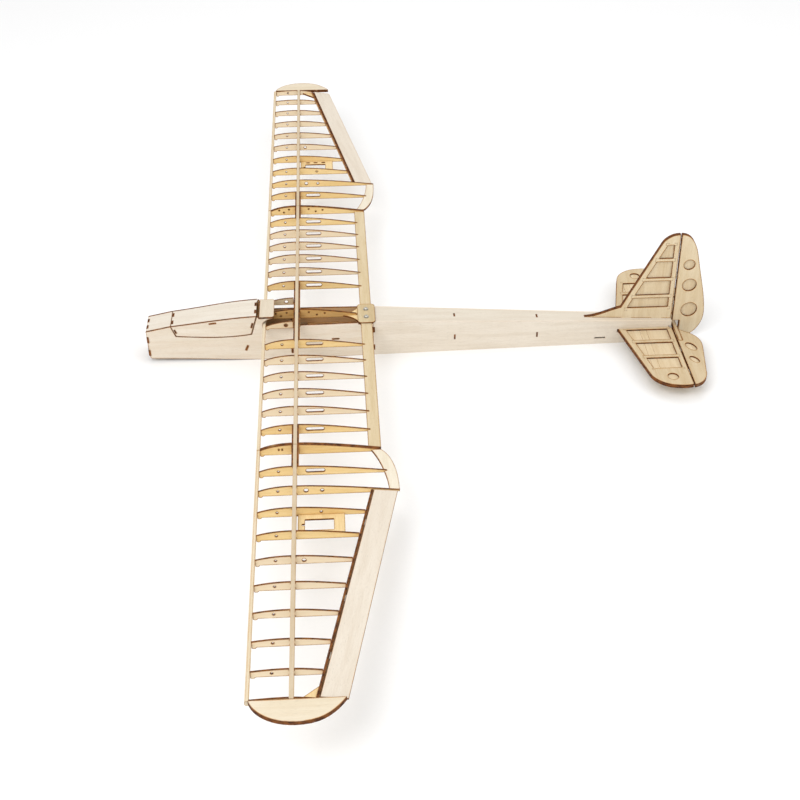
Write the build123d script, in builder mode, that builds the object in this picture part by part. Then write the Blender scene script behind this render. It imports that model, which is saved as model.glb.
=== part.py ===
from build123d import *
import os
from math import cos, radians, sin

# Built-up glider airframe of laser-cut balsa and ply, in millimetres.
# +X runs to the tail, +Y to starboard, +Z up; the belly stands on Z = 0.
os.makedirs("parts", exist_ok=True)

# Sheet thicknesses
SHEET = 2.5  # fuselage balsa
PLY = 2.0  # braces, trays and plates
RIB = 2.0  # wing ribs
LAYER = 2.0  # each of the three layers of a tail surface
FIT = 0.05  # glue clearance around slots, notches and tabs

# Fuselage stations
NOSE_X = -432.0
HATCH_X0 = -394.0
HATCH_X1 = -262.0
JOINT_X = -86.0  # front sides meet the boom sides here
TAIL_X = 381.0
SADDLE_Z = 61.0
COVER_Z = 75.4  # under the plate ahead of the wing

# Wing
LE_X = -252.0  # root leading edge
WING_Z = 58.5  # flat underside of the ribs
DEPTH = 15.8  # rib height at the spar
BAY = 40.0  # rib spacing of the centre panel
JOINT_Y = 321.0  # polyhedral joint
DIHEDRAL = radians(2.43)
TE_CHORD = 164.0
SPAR_C = 49.5  # spar centre behind the leading edge
SPAR_W = 5.0
CAP = 3.0
LE_FRONT = -2.2  # leading edge strip, front face
LE_D = 4.5  # leading edge strip, fore and aft
LE_TOP = 7.6  # its top above the underside at the root
LE_H = 7.0  # its height
OUTER_RIBS = (48.0, 88.5, 130.5, 174.0, 218.5, 262.5, 307.5, 352.0, 396.0, 436.0)
PANEL = 436.5  # joint to tip rib

# Tail
STAB_Z = 23.0  # middle of the stabiliser and hinge line height
HINGE_X = 382.5
RUDDER_X0 = 384.0  # rudder hinge line at Z = 0
RUDDER_LEAN = 0.0332  # forward lean of that line per mm of height

# Pinned hinges
PIN_R = 0.5
BORE_R = 0.55
KNUCKLE_R = 1.15
LEAF = 0.7


def save(piece, label):
    piece.part.label = label
    export_step(piece.part, f"parts/{label}.step")


def strip_profile(points, amount, plane, mode=Mode.ADD, both=False):
    """Closed polygon on a plane, extruded."""
    with BuildSketch(plane) as outline:
        with BuildLine():
            Polyline(*points, close=True)
        make_face()
    extrude(outline.sketch, amount=amount, both=both, mode=mode)


# ---------------------------------------------------------------- fuselage outline
# Outer half widths of the fuselage in plan view
PLAN = (
    (-432.0, 22.0),
    (-392.0, 22.2),
    (-350.0, 23.0),
    (-311.0, 24.3),
    (-262.0, 25.0),
    (-160.0, 24.0),
    (-86.0, 22.0),
    (381.0, 10.5),
)


def half_width(x):
    for (xa, wa), (xb, wb) in zip(PLAN, PLAN[1:]):
        if x <= xb:
            return wa + (wb - wa) * (x - xa) / (xb - xa)
    return PLAN[-1][1]


def plan_polygon(inset):
    right = [(x, w - inset) for x, w in PLAN]
    return right + [(x, -y) for x, y in reversed(right)]


def clip(inset, mode=Mode.INTERSECT):
    """Keep only what lies inside the fuselage plan, less an inset."""
    strip_profile(plan_polygon(inset), 240, Plane.XY.offset(-10), mode)


def boom_top(x):
    return SADDLE_Z - 0.052 * (x - JOINT_X)


HATCH_LOW = ((-387.5, 45.8), (-350.0, 43.4), (-313.0, 43.2), (-290.0, 44.8), (-271.8, 47.2))
NOSE_Z = 55.8  # top of the nose at its front
HATCH_Z = 64.0  # and where the hatch begins

# Tabs of the formers: centre x, centre z, size along x, size along z, lean in degrees
SIDE_TABS = {
    "nose": ((-430.5, 41.0, 3.0, 11.0, 0.0), (-430.5, 17.0, 3.0, 11.0, 0.0)),
    "rear": ((-280.9, 22.4, 2.6, 10.0, 22.4),),
    "spar": ((-211.5, 15.0, 2.6, 10.0, 0.0),),
    "tray": ((-144.5, 33.0, 11.0, 2.0, 0.0),),
    "joint": ((-86.0, 46.5, 4.4, 10.0, 0.0), (-86.0, 14.0, 4.4, 10.0, 0.0)),
    "boom_a": ((40.0, 26.0, 2.6, 9.0, 0.0),),
    "boom_b": ((169.0, 23.0, 2.6, 9.0, 0.0),),
}


def side_tabs(name, grow=0.0, mode=Mode.ADD):
    for x, z, lx, lz, lean in SIDE_TABS[name]:
        with Locations(Location((x, 0, z), (0, lean, 0))):
            Box(lx + grow, 80, lz + grow, mode=mode)


def top_tabs(x, lx, places, length, grow=0.0, mode=Mode.ADD, z=60.0, tall=50.0):
    for y in places:
        with Locations((x, y, z)):
            Box(lx + grow, length + grow, tall, mode=mode)


# ---------------------------------------------------------------- front side sheets
with BuildPart() as fuselage_side_starboard:
    with BuildSketch(Plane.XZ):
        with BuildLine():
            Polyline(
                (-426.5, 6.3),
                (-262, 0),
                (JOINT_X - FIT, 0),
                (JOINT_X - FIT, WING_Z - 0.1),
                (LE_X + 143.0, WING_Z - 0.1),
                (LE_X + 143.0, SADDLE_Z),
                (LE_X + 54.4, SADDLE_Z),
                (LE_X + 54.4, WING_Z - 0.1),
                (LE_X + 44.6, WING_Z - 0.1),
                (LE_X + 44.6, SADDLE_Z),
                (LE_X + 2.5, SADDLE_Z),
                (LE_X + 2.5, WING_Z + 0.4),
                (LE_X - 2.4, WING_Z + 0.4),
                (LE_X - 2.4, WING_Z + 8.0),
            )
            # hook over the leading edge, up to the seat cover
            Spline((LE_X - 2.4, WING_Z + 8.0), (-251.0, 70.6), (-245.0, 73.8), (-237.5, COVER_Z))
            Polyline(
                (-237.5, COVER_Z),
                (-259.3, COVER_Z),
                (-260.3, 77.9),
                (-262.6, 78.3),
                HATCH_LOW[-1],
            )
            Spline(*reversed(HATCH_LOW))
            Polyline(HATCH_LOW[0], (HATCH_X0, HATCH_Z), (NOSE_X, NOSE_Z), (-430.5, 10.0))
            ThreePointArc((-430.5, 10.0), (-429.4, 7.4), (-426.5, 6.3))
        make_face()
    extrude(amount=-60)
    clip(0.0)
    clip(SHEET, Mode.SUBTRACT)
    for tabs in ("nose", "rear", "spar", "tray", "joint"):
        side_tabs(tabs, 0.1, Mode.SUBTRACT)
save(fuselage_side_starboard, "fuselage_side_starboard")

with BuildPart() as fuselage_side_port:
    mirror(fuselage_side_starboard.part, about=Plane.XZ)
save(fuselage_side_port, "fuselage_side_port")

# ---------------------------------------------------------------- boom side sheets
with BuildPart() as boom_side_starboard:
    strip_profile(
        (
            (JOINT_X + FIT, 0),
            (TAIL_X, 0),
            (TAIL_X, boom_top(TAIL_X)),
            (JOINT_X + FIT, boom_top(JOINT_X)),
        ),
        -60,
        Plane.XZ,
    )
    clip(0.0)
    clip(SHEET, Mode.SUBTRACT)
    for tabs in ("joint", "boom_a", "boom_b"):
        side_tabs(tabs, 0.1, Mode.SUBTRACT)
    # slot for the stabiliser, open at the back
    with Locations((TAIL_X - 42, 0, STAB_Z)):
        Box(86.4, 80, 3 * LAYER + 0.2, mode=Mode.SUBTRACT)
    # pushrod exit
    with Locations((269.5, 0, 11.0)):
        Box(17, 80, 3, mode=Mode.SUBTRACT)
    # hole around the elevator joiner, behind the tail post
    with Locations((TAIL_X, 0, STAB_Z)):
        Box(8, 80, 11, mode=Mode.SUBTRACT)
save(boom_side_starboard, "boom_side_starboard")

with BuildPart() as boom_side_port:
    mirror(boom_side_starboard.part, about=Plane.XZ)
save(boom_side_port, "boom_side_port")

# ---------------------------------------------------------------- bottom and top sheets
with BuildPart() as bottom_sheet:
    strip_profile(
        (
            (-426.5, 6.4),
            (-262, 0),
            (TAIL_X, 0),
            (TAIL_X, SHEET),
            (-262, SHEET),
            (-426.5, 6.4 + SHEET),
        ),
        60,
        Plane.XZ,
        both=True,
    )
    clip(SHEET + FIT)
save(bottom_sheet, "bottom_sheet")

with BuildPart() as nose_top_sheet:
    strip_profile(
        (
            (NOSE_X, NOSE_Z),
            (HATCH_X0, HATCH_Z),
            (HATCH_X0, HATCH_Z - SHEET),
            (NOSE_X, NOSE_Z - SHEET),
        ),
        60,
        Plane.XZ,
        both=True,
    )
    clip(SHEET + FIT)
    top_tabs(-430.5, 3.0, (-8.5, 8.5), 9.0, 0.1, Mode.SUBTRACT)
save(nose_top_sheet, "nose_top_sheet")

with BuildPart() as boom_top_sheet:
    strip_profile(
        (
            (JOINT_X + FIT, boom_top(JOINT_X)),
            (TAIL_X, boom_top(TAIL_X)),
            (TAIL_X, boom_top(TAIL_X) - SHEET),
            (JOINT_X + FIT, boom_top(JOINT_X) - SHEET),
        ),
        60,
        Plane.XZ,
        both=True,
    )
    clip(SHEET + FIT)
    top_tabs(40.0, 2.6, (0.0,), 9.0, 0.1, Mode.SUBTRACT)
    top_tabs(169.0, 2.6, (0.0,), 9.0, 0.1, Mode.SUBTRACT)
    # slots for the two tabs under the fin
    for x in (310.0, 358.0):
        with Locations((x, 0, 40)):
            Box(16.1, 3 * LAYER + 0.1, 20, mode=Mode.SUBTRACT)
save(boom_top_sheet, "boom_top_sheet")

# ---------------------------------------------------------------- formers
LOW = SHEET + FIT

with BuildPart() as nose_former:
    with Locations((-430.5, 0, 31.4)):
        Box(3, 60, 43.2)
    clip(SHEET + FIT)
    side_tabs("nose")
    top_tabs(-430.5, 3.0, (-8.5, 8.5), 9.0, z=49.5, tall=13.2)
    clip(0.0)
    with Locations((-430.5, 0, 32)):
        Box(10, 20, 24, mode=Mode.SUBTRACT)
save(nose_former, "nose_former")

with BuildPart() as hatch_front_former:
    strip_profile(
        (
            (-399.0, 8.2),
            (-396.4, 8.1),
            (-396.4, 60.9),
            (-399.0, 60.3),
        ),
        60,
        Plane.XZ,
        both=True,
    )
    clip(SHEET + FIT)
    with Locations((-397.7, 0, 35)):
        Box(10, 24, 34, mode=Mode.SUBTRACT)
save(hatch_front_former, "hatch_front_former")

with BuildPart() as hatch_rear_former:
    strip_profile(
        (
            (-289.95, 3.8),
            (-287.25, 3.8),
            (-257.7, COVER_Z),
            (-260.4, COVER_Z),
        ),
        60,
        Plane.XZ,
        both=True,
    )
    clip(SHEET + FIT)
    side_tabs("rear")
    clip(0.0)
    with Locations((-269, 0, 40)):
        Box(60, 26, 44, mode=Mode.SUBTRACT)
save(hatch_rear_former, "hatch_rear_former")

with BuildPart() as spar_former:
    with Locations((-211.5, 0, 28)):
        Box(2.6, 60, 50.8)
    clip(SHEET + FIT)
    side_tabs("spar")
    clip(0.0)
    with Locations((-211.5, 0, 29)):
        Box(10, 26, 30, mode=Mode.SUBTRACT)
save(spar_former, "spar_former")

with BuildPart() as wing_rear_former:
    with Locations((-86.0, 0, 29)):
        Box(4.4, 60, 52.6)
    clip(SHEET + FIT)
    side_tabs("joint")
    clip(0.0)
    with Locations((-86.0, 0, 27)):
        Box(10, 24, 28, mode=Mode.SUBTRACT)
save(wing_rear_former, "wing_rear_former")

with BuildPart() as boom_formers:
    for name, x in (("boom_a", 40.0), ("boom_b", 169.0)):
        height = boom_top(x) - SHEET - LOW - 2 * FIT
        with Locations((x, 0, LOW + height / 2)):
            Box(2.6, 60, height)
    clip(SHEET + FIT)
    for name, x in (("boom_a", 40.0), ("boom_b", 169.0)):
        side_tabs(name)
        top_tabs(x, 2.6, (0.0,), 9.0, z=boom_top(x) - 5.2, tall=10.0)
    clip(0.0)
    for x, size in ((40.0, 24.0), (169.0, 18.0)):
        with Locations((x, 0, 24)):
            Box(10, size, size, mode=Mode.SUBTRACT)
save(boom_formers, "boom_formers")

# ---------------------------------------------------------------- fuselage fittings
# Ply tray with openings for two micro servos
with BuildPart() as servo_tray:
    with Locations((-146.0, 0, 33)):
        Box(84, 60, PLY)
    clip(SHEET + FIT)
    side_tabs("tray")
    clip(0.0)
    for y in (-10.0, 10.0):
        with Locations((-146.0, y, 33)):
            Box(23.2, 12.8, 10, mode=Mode.SUBTRACT)
        with Locations((-160.0, y, 33), (-132.0, y, 33)):
            Cylinder(0.75, 10, mode=Mode.SUBTRACT)
save(servo_tray, "servo_tray")

# Hardwood block that the wing screws bite into
SCREW_X = -96.5
SCREW_Y = 10.5
with BuildPart() as wing_bolt_block:
    with Locations((-97.0, 0, 51.3)):
        Box(16, 60, 14.0)
    clip(SHEET + FIT)
    with Locations((SCREW_X, -SCREW_Y, 50), (SCREW_X, SCREW_Y, 50)):
        Cylinder(1.3, 20, mode=Mode.SUBTRACT)
save(wing_bolt_block, "wing_bolt_block")

with BuildPart() as tail_post:
    with Locations((372.0, 0, 10.9)):
        Box(4, 60, 16.6)
    with Locations((372.0, 0, 30.0)):
        Box(4, 60, 7.6)
    clip(SHEET + FIT)
save(tail_post, "tail_post")

# Cover over the front of the wing seat
with BuildPart() as wing_front_plate:
    with BuildSketch(Plane.XY.offset(COVER_Z + FIT)):
        with Locations((-247.8, 0)):
            Rectangle(22.0, 49.0)
    extrude(amount=SHEET)
    fillet(wing_front_plate.edges().filter_by(Axis.Z).group_by(Axis.X)[-1], 4.0)
save(wing_front_plate, "wing_front_plate")

# ---------------------------------------------------------------- wing ribs
def centre_plane(y):
    """Rib plane at spanwise station y; local x is aft of the leading edge, y is up."""
    return Plane(origin=(LE_X, y, WING_Z), x_dir=(1, 0, 0), z_dir=(0, -1, 0))


def outer_point(x, s, v):
    """Point of the starboard outer panel: aft, out from the joint, up."""
    return (
        LE_X + x,
        JOINT_Y + s * cos(DIHEDRAL) - v * sin(DIHEDRAL),
        WING_Z + s * sin(DIHEDRAL) + v * cos(DIHEDRAL),
    )


def outer_rib_plane(s):
    return Plane(
        origin=outer_point(0, s, 0),
        x_dir=(1, 0, 0),
        z_dir=(0, -cos(DIHEDRAL), -sin(DIHEDRAL)),
    )


def outer_plan(v):
    """Plan plane of the outer panel at height v; local x aft, y out along the span."""
    return Plane(
        origin=outer_point(0, 0, v),
        x_dir=(1, 0, 0),
        z_dir=(0, -sin(DIHEDRAL), cos(DIHEDRAL)),
    )


def rib_solid(plane, x0, x1, low, le_top, tail, thick=RIB, high=DEPTH):
    """Cambered rib: flat underside, top from the leading edge over the spar to the tail."""
    front = x0 + LE_FRONT + LE_D + FIT
    rise = high - le_top
    drop = high - low - tail
    run = x1 - SPAR_C
    with BuildSketch(plane) as section:
        with BuildLine():
            Polyline((front, le_top), (front, low), (x1, low), (x1, low + tail))
            Spline(
                (x1, low + tail),
                (SPAR_C + 0.62 * run, high - 0.48 * drop),
                (SPAR_C + 0.28 * run, high - 0.13 * drop),
                (SPAR_C, high),
                (front + 0.45 * (SPAR_C - front), high - 0.22 * rise),
                (front, le_top),
            )
        make_face()
        # foot under the leading edge
        with Locations((front + 2.7, low + 1.1)):
            Circle(3.3)
        with Locations((front - 4.0, low + 1.1)):
            Rectangle(8.0, 12.0, mode=Mode.SUBTRACT)
        # spar caps
        with Locations((SPAR_C, high - CAP / 2 + 1), (SPAR_C, low + CAP / 2 - 1)):
            Rectangle(SPAR_W + 2 * FIT, CAP + 2 + 2 * FIT, mode=Mode.SUBTRACT)
    extrude(section.sketch, amount=thick / 2, both=True)


def punch(plane, x, y, r, through=True):
    """Round hole, either right through or only into the inboard half."""
    with BuildSketch(plane) as hole:
        with Locations((x, y)):
            Circle(r)
    extrude(hole.sketch, amount=6, both=through, mode=Mode.SUBTRACT)


def lightening_slot(plane, x, y, length=25.0, width=5.5):
    with BuildSketch(plane) as hole:
        with Locations((x, y)):
            SlotOverall(length, width)
    extrude(hole.sketch, amount=6, both=True, mode=Mode.SUBTRACT)


def brace_notch(plane, low=0.0, high=DEPTH):
    """Clears the spar and the braces on both sides of it."""
    with BuildSketch(plane) as notch:
        with Locations((SPAR_C, (low + high) / 2)):
            Rectangle(SPAR_W + 2 * PLY + 4 * FIT, high - low + 6)
    extrude(notch.sketch, amount=7, both=True, mode=Mode.SUBTRACT)


CENTRE_TAIL = 3.4
# Small pin holes of the thick ribs
RIB_PINS = ((17, 9.4), (25, 5.0), (34, 10.6), (68, 10.6), (80, 5.8), (92, 8.4))
RIB_END = 150.5  # tails reach into slots in the trailing edge

# Ply rib on the centreline, with its pin holes
with BuildPart() as centre_rib:
    middle = centre_plane(0)
    rib_solid(middle, 0.0, RIB_END, 0.0, LE_TOP, CENTRE_TAIL, thick=3.0)
    brace_notch(middle)
    for x, y in RIB_PINS:
        punch(middle, x, y, 1.3)
    # trimmed level under the hold-down plate
    with Locations((-95.0, 0, 71.5)):
        Box(32, 10, 20, mode=Mode.SUBTRACT)
save(centre_rib, "centre_rib")

# Short nose ribs over the fuselage sides, ending at the spar brace
with BuildPart() as root_nose_ribs:
    for side in (-1, 1):
        plane = centre_plane(side * 32.0)
        rib_solid(plane, 0.0, RIB_END, 3.6, LE_TOP, CENTRE_TAIL)
        punch(plane, 33, 9.2, 2.8)
    with Locations((LE_X + 44.4 + 60, 0, WING_Z)):
        Box(120, 120, 60, mode=Mode.SUBTRACT)
save(root_nose_ribs, "root_nose_ribs")

with BuildPart() as centre_ribs_starboard:
    for k in range(2, 8):
        plane = centre_plane(k * BAY)
        rib_solid(plane, 0.0, RIB_END, 0.0, LE_TOP, CENTRE_TAIL)
        punch(plane, 28, 7.6, 1.7)
        lightening_slot(plane, 76, 7.8)
save(centre_ribs_starboard, "centre_ribs_starboard")

with BuildPart() as centre_ribs_port:
    mirror(centre_ribs_starboard.part, about=Plane.XZ)
save(centre_ribs_port, "centre_ribs_port")

# Thick laminated ribs at the polyhedral joints, cut to the dihedral on the outer face
JOINT_T = 6.0
with BuildPart() as joint_ribs:
    plane = centre_plane(JOINT_Y)
    rib_solid(plane, 0.0, TE_CHORD - 0.3, 0.0, LE_TOP, 3.0, thick=JOINT_T)
    brace_notch(plane)
    for x, y in RIB_PINS:
        punch(plane, x, y, 1.3, through=False)
    # two short slots in the outer face
    with BuildSketch(plane) as marks:
        with Locations((27.5, 8.6), (32.0, 8.6)):
            Rectangle(1.4, 3.2)
    extrude(marks.sketch, amount=-6, mode=Mode.SUBTRACT)
    split(bisect_by=outer_rib_plane(JOINT_T / 2 - 0.1), keep=Keep.TOP)
    mirror(about=Plane.XZ)
save(joint_ribs, "joint_ribs")


def outer_low(s):
    """Underside of the outer panel rises towards the tip as the section thins."""
    return 6.0 * s / PANEL


def outer_le_x(s):
    return 2.5 * s / PANEL


def outer_le_top(s):
    return LE_TOP + 6.6 * s / PANEL


def aileron_x(s):
    """Front edge of the aileron."""
    return 150.0 - 0.2071 * (s - 90.0)


def aileron_h(s):
    return 5.4 + 1.4 * (s - 90.0) / 347.0


with BuildPart() as outer_ribs_starboard:
    for number, s in enumerate(OUTER_RIBS, 1):
        plane = outer_rib_plane(s)
        low, top = outer_low(s), outer_le_top(s)
        if number == 1:
            rib_solid(plane, outer_le_x(s), 169.0, low, top, 3.4)
            lightening_slot(plane, 76, 8.2)
        elif number == 2:
            rib_solid(plane, outer_le_x(s), 183.5, low, top, 2.4)
            punch(plane, 64, 8.4, 2.9)
            punch(plane, 84.5, 8.0, 2.2)
        else:
            end = aileron_x(s) - 3.4
            rib_solid(plane, outer_le_x(s), end, low, top, aileron_h(s))
        if number == 3:
            punch(plane, 83, 8.2, 1.7)
        if number == 5:
            punch(plane, 62, 8.8, 2.4)
        punch(plane, 28, (low + DEPTH) / 2, 1.5)
save(outer_ribs_starboard, "outer_ribs_starboard")

with BuildPart() as outer_ribs_port:
    mirror(outer_ribs_starboard.part, about=Plane.XZ)
save(outer_ribs_port, "outer_ribs_port")

# ---------------------------------------------------------------- leading edges
with BuildPart() as leading_edge_centre:
    with Locations((LE_X + LE_FRONT + LE_D / 2, 0, WING_Z + LE_TOP - LE_H / 2)):
        Box(LE_D, 2 * JOINT_Y + 0.6, LE_H)
    fillet(leading_edge_centre.edges().filter_by(Axis.Y).group_by(Axis.X)[0], 1.6)
save(leading_edge_centre, "leading_edge_centre")


def loft_between(section_a, section_b, s_a, s_b):
    """Ruled solid between two polygons given in the outer rib planes."""
    ends = []
    for s, section in ((s_a, section_a), (s_b, section_b)):
        with BuildSketch(outer_rib_plane(s)) as end:
            with BuildLine():
                Polyline(*section, close=True)
            make_face()
        ends.append(end.sketch.faces()[0])
    loft(ends, ruled=True)


def le_section(s):
    x, top = outer_le_x(s) + LE_FRONT, outer_le_top(s)
    return (
        (x + LE_D, top),
        (x + 1.4, top),
        (x, top - 1.6),
        (x, top - LE_H + 1.6),
        (x + 1.4, top - LE_H),
        (x + LE_D, top - LE_H),
    )


with BuildPart() as outer_leading_edges:
    loft_between(le_section(1.6), le_section(PANEL + 0.9), 1.6, PANEL + 0.9)
    mirror(about=Plane.XZ)
save(outer_leading_edges, "outer_leading_edges")

# ---------------------------------------------------------------- spars and braces
with BuildPart() as spar_centre:
    with Locations(
        (LE_X + SPAR_C, 0, WING_Z + DEPTH - CAP / 2), (LE_X + SPAR_C, 0, WING_Z + CAP / 2)
    ):
        Box(SPAR_W, 2 * JOINT_Y, CAP)
save(spar_centre, "spar_centre")

with BuildPart() as outer_spars:
    for s_low in (0, 1):
        ends = []
        for s in (1.6, PANEL + 0.9):
            base = outer_low(s) if s_low else DEPTH - CAP
            ends.append(
                (
                    (SPAR_C - SPAR_W / 2, base),
                    (SPAR_C + SPAR_W / 2, base),
                    (SPAR_C + SPAR_W / 2, base + CAP),
                    (SPAR_C - SPAR_W / 2, base + CAP),
                )
            )
        loft_between(ends[0], ends[1], 1.6, PANEL + 0.9)
    mirror(about=Plane.XZ)
save(outer_spars, "outer_spars")

BRACE_AT = (
    LE_X + SPAR_C - SPAR_W / 2 - FIT - PLY,
    LE_X + SPAR_C + SPAR_W / 2 + FIT,
)

with BuildPart() as centre_spar_braces:
    for x in BRACE_AT:
        with Locations((x + PLY / 2, 0, WING_Z + DEPTH / 2)):
            Box(PLY, 2 * (2 * BAY - RIB / 2 - FIT), DEPTH - 0.6)
save(centre_spar_braces, "centre_spar_braces")

with BuildPart() as joint_spar_braces:
    inner = 7 * BAY + RIB / 2 + FIT
    outer = OUTER_RIBS[0] - RIB / 2 - FIT
    low_in, high_in = WING_Z + 0.4, WING_Z + DEPTH - 0.4
    low_out = outer_point(0, outer, 0.9)
    high_out = outer_point(0, outer, DEPTH - 0.4)
    low_mid = outer_point(0, 0, 0.4)
    high_mid = outer_point(0, 0, DEPTH - 0.4)
    for x in BRACE_AT:
        strip_profile(
            (
                (inner, low_in),
                (low_mid[1], low_mid[2]),
                (low_out[1], low_out[2]),
                (high_out[1], high_out[2]),
                (high_mid[1], high_mid[2]),
                (inner, high_in),
            ),
            PLY,
            Plane.YZ.offset(x),
        )
    mirror(about=Plane.XZ)
save(joint_spar_braces, "joint_spar_braces")

# ---------------------------------------------------------------- trailing edges
TE_X = 146.8
AILERON_GAP = 0.5  # between the web and the nose of the aileron

with BuildPart() as trailing_edge_strip:
    with BuildSketch(Plane(origin=(LE_X, 0, WING_Z), x_dir=(1, 0, 0), z_dir=(0, -1, 0))):
        with BuildLine():
            Polyline((TE_X, 0), (TE_CHORD, 0), (TE_CHORD, 2.4), (TE_X, 3.0), close=True)
        make_face()
    extrude(amount=JOINT_Y - JOINT_T / 2 - FIT, both=True)
    for y in [k * BAY for k in range(-7, 8) if abs(k) != 1]:
        thick = 3.0 if y == 0 else RIB
        with Locations((LE_X + TE_X + 1.8, y, WING_Z)):
            Box(4.2, thick + 2 * FIT, 20, mode=Mode.SUBTRACT)
    # screw holes
    for side in (-1, 1):
        with Locations((SCREW_X, side * SCREW_Y, WING_Z)):
            Cylinder(1.7, 20, mode=Mode.SUBTRACT)
save(trailing_edge_strip, "trailing_edge_strip")

with BuildPart() as curved_trailing_edges:
    with BuildSketch(outer_plan(0.2)):
        with BuildLine():
            Line((150.6, 3.0), (TE_CHORD, 3.0))
            Spline((TE_CHORD, 3.0), (171.0, 13), (178.5, 33), (182.5, 56), (184.0, 87.3))
            Line((184.0, 87.3), (170.5, 87.3))
            Spline((170.5, 87.3), (169.5, 72), (166.0, 50), (158.5, 22), (150.6, 3.0))
        make_face()
    extrude(amount=3.0)
    # pocket for the tail of the first outer rib
    with BuildSketch(outer_plan(-1)):
        with Locations((163.2, OUTER_RIBS[0])):
            Rectangle(11.8, RIB + 2 * FIT)
    extrude(amount=12, mode=Mode.SUBTRACT)
    mirror(about=Plane.XZ)
save(curved_trailing_edges, "curved_trailing_edges")


def web_section(s):
    x, low = aileron_x(s), outer_low(s)
    return (
        (x - 3.1, low),
        (x - AILERON_GAP, low),
        (x - AILERON_GAP, low + aileron_h(s)),
        (x - 3.1, low + aileron_h(s)),
    )


# ---------------------------------------------------------------- hinges
def hinge_plane(origin, along, aft):
    """Local z along the hinge line, local x into the moving surface."""
    return Plane(origin=origin, x_dir=aft, z_dir=along)


def unit(a, b):
    v = Vector(*b) - Vector(*a)
    return v.normalized()


AILERON_S = (152.0, 285.0, 374.0)


def aileron_axis_point(s):
    return outer_point(aileron_x(s) - AILERON_GAP / 2, s, outer_low(s) + aileron_h(s) / 2)


AXIS_IN = aileron_axis_point(91.0)
AXIS_OUT = aileron_axis_point(434.0)
AXIS_DIR = unit(AXIS_IN, AXIS_OUT)


def aileron_hinge_planes():
    up = Vector(0, -sin(DIHEDRAL), cos(DIHEDRAL))
    aft = AXIS_DIR.cross(up) * -1
    if aft.X < 0:
        aft = aft * -1
    return [hinge_plane(aileron_axis_point(s), AXIS_DIR, aft) for s in AILERON_S]


def elevator_hinge_planes():
    return [
        hinge_plane((HINGE_X, y, STAB_Z), (0, 1, 0), (1, 0, 0))
        for y in (-125.0, -68.0, 68.0, 125.0)
    ]


def rudder_x(z):
    return RUDDER_X0 - RUDDER_LEAN * z


def rudder_hinge_planes():
    lean = Vector(-RUDDER_LEAN, 0, 1).normalized()
    aft = Vector(1, 0, RUDDER_LEAN).normalized()
    return [hinge_plane((rudder_x(z), 0, z), lean, aft) for z in (62.0, 114.0, 163.0)]


def box_at(plane, x0, x1, y, z0, z1, mode=Mode.ADD):
    """Box between two local x and two local z values, y thick."""
    with BuildSketch(plane.offset(z0)) as section:
        with Locations(((x0 + x1) / 2, 0)):
            Rectangle(x1 - x0, y)
    extrude(section.sketch, amount=z1 - z0, mode=mode)


def barrel(plane, z0, z1, r, mode=Mode.ADD):
    with BuildSketch(plane.offset(z0)) as section:
        Circle(r)
    extrude(section.sketch, amount=z1 - z0, mode=mode)


def fixed_leaf(plane, reach=9.5):
    box_at(plane, -reach, -1.6, LEAF, -5, 5)
    for z0, z1 in ((-5, -1.9), (1.9, 5)):
        box_at(plane, -1.7, 0, LEAF, z0, z1)
        barrel(plane, z0, z1, KNUCKLE_R)
    barrel(plane, -6, 6, BORE_R, Mode.SUBTRACT)


def moving_leaf(plane):
    box_at(plane, 1.6, 9.5, LEAF, -5, 5)
    box_at(plane, 0, 1.7, LEAF, -1.6, 1.6)
    barrel(plane, -1.6, 1.6, KNUCKLE_R)
    barrel(plane, -6, 6, BORE_R, Mode.SUBTRACT)


def hinge_pocket(plane, side):
    """Slot for a leaf and room for the knuckles, cut into one surface."""
    a, b = (-9.7, 0) if side < 0 else (0, 9.7)
    box_at(plane, a, b, LEAF + 0.1, -5.1, 5.1, Mode.SUBTRACT)
    box_at(plane, -1.6, 1.6, 3.2, -5.4, 5.4, Mode.SUBTRACT)


with BuildPart() as hinge_fixed_leaves:
    for plane in aileron_hinge_planes():
        fixed_leaf(plane, 2.7)
    mirror(about=Plane.XZ)
    for plane in elevator_hinge_planes() + rudder_hinge_planes():
        fixed_leaf(plane)
save(hinge_fixed_leaves, "hinge_fixed_leaves")

with BuildPart() as hinge_pins:
    for plane in aileron_hinge_planes():
        barrel(plane, -5.2, 5.2, PIN_R)
    mirror(about=Plane.XZ)
    for plane in elevator_hinge_planes() + rudder_hinge_planes():
        barrel(plane, -5.2, 5.2, PIN_R)
save(hinge_pins, "hinge_pins")

# ---------------------------------------------------------------- false spars and ailerons
with BuildPart() as false_spars:
    loft_between(web_section(89.8), web_section(434.7), 89.8, 434.7)
    for plane in aileron_hinge_planes():
        hinge_pocket(plane, -1)
    mirror(about=Plane.XZ)
save(false_spars, "false_spars")


def aileron_section(s):
    x, low, high = aileron_x(s), outer_low(s), aileron_h(s)
    return (
        (x, low + high / 2),
        (x + 0.42 * high / 2, low),
        (x + 31.0, low),
        (x + 31.0, low + 2.0),
        (x + 0.42 * high / 2, low + high),
    )


with BuildPart() as aileron_starboard:
    loft_between(aileron_section(90.6), aileron_section(434.2), 90.6, 434.2)
    for plane in aileron_hinge_planes():
        hinge_pocket(plane, 1)
save(aileron_starboard, "aileron_starboard")

with BuildPart() as aileron_port:
    mirror(aileron_starboard.part, about=Plane.XZ)
save(aileron_port, "aileron_port")

with BuildPart() as aileron_leaves_starboard:
    for plane in aileron_hinge_planes():
        moving_leaf(plane)
save(aileron_leaves_starboard, "aileron_leaves_starboard")

with BuildPart() as aileron_leaves_port:
    mirror(aileron_leaves_starboard.part, about=Plane.XZ)
save(aileron_leaves_port, "aileron_leaves_port")

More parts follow.
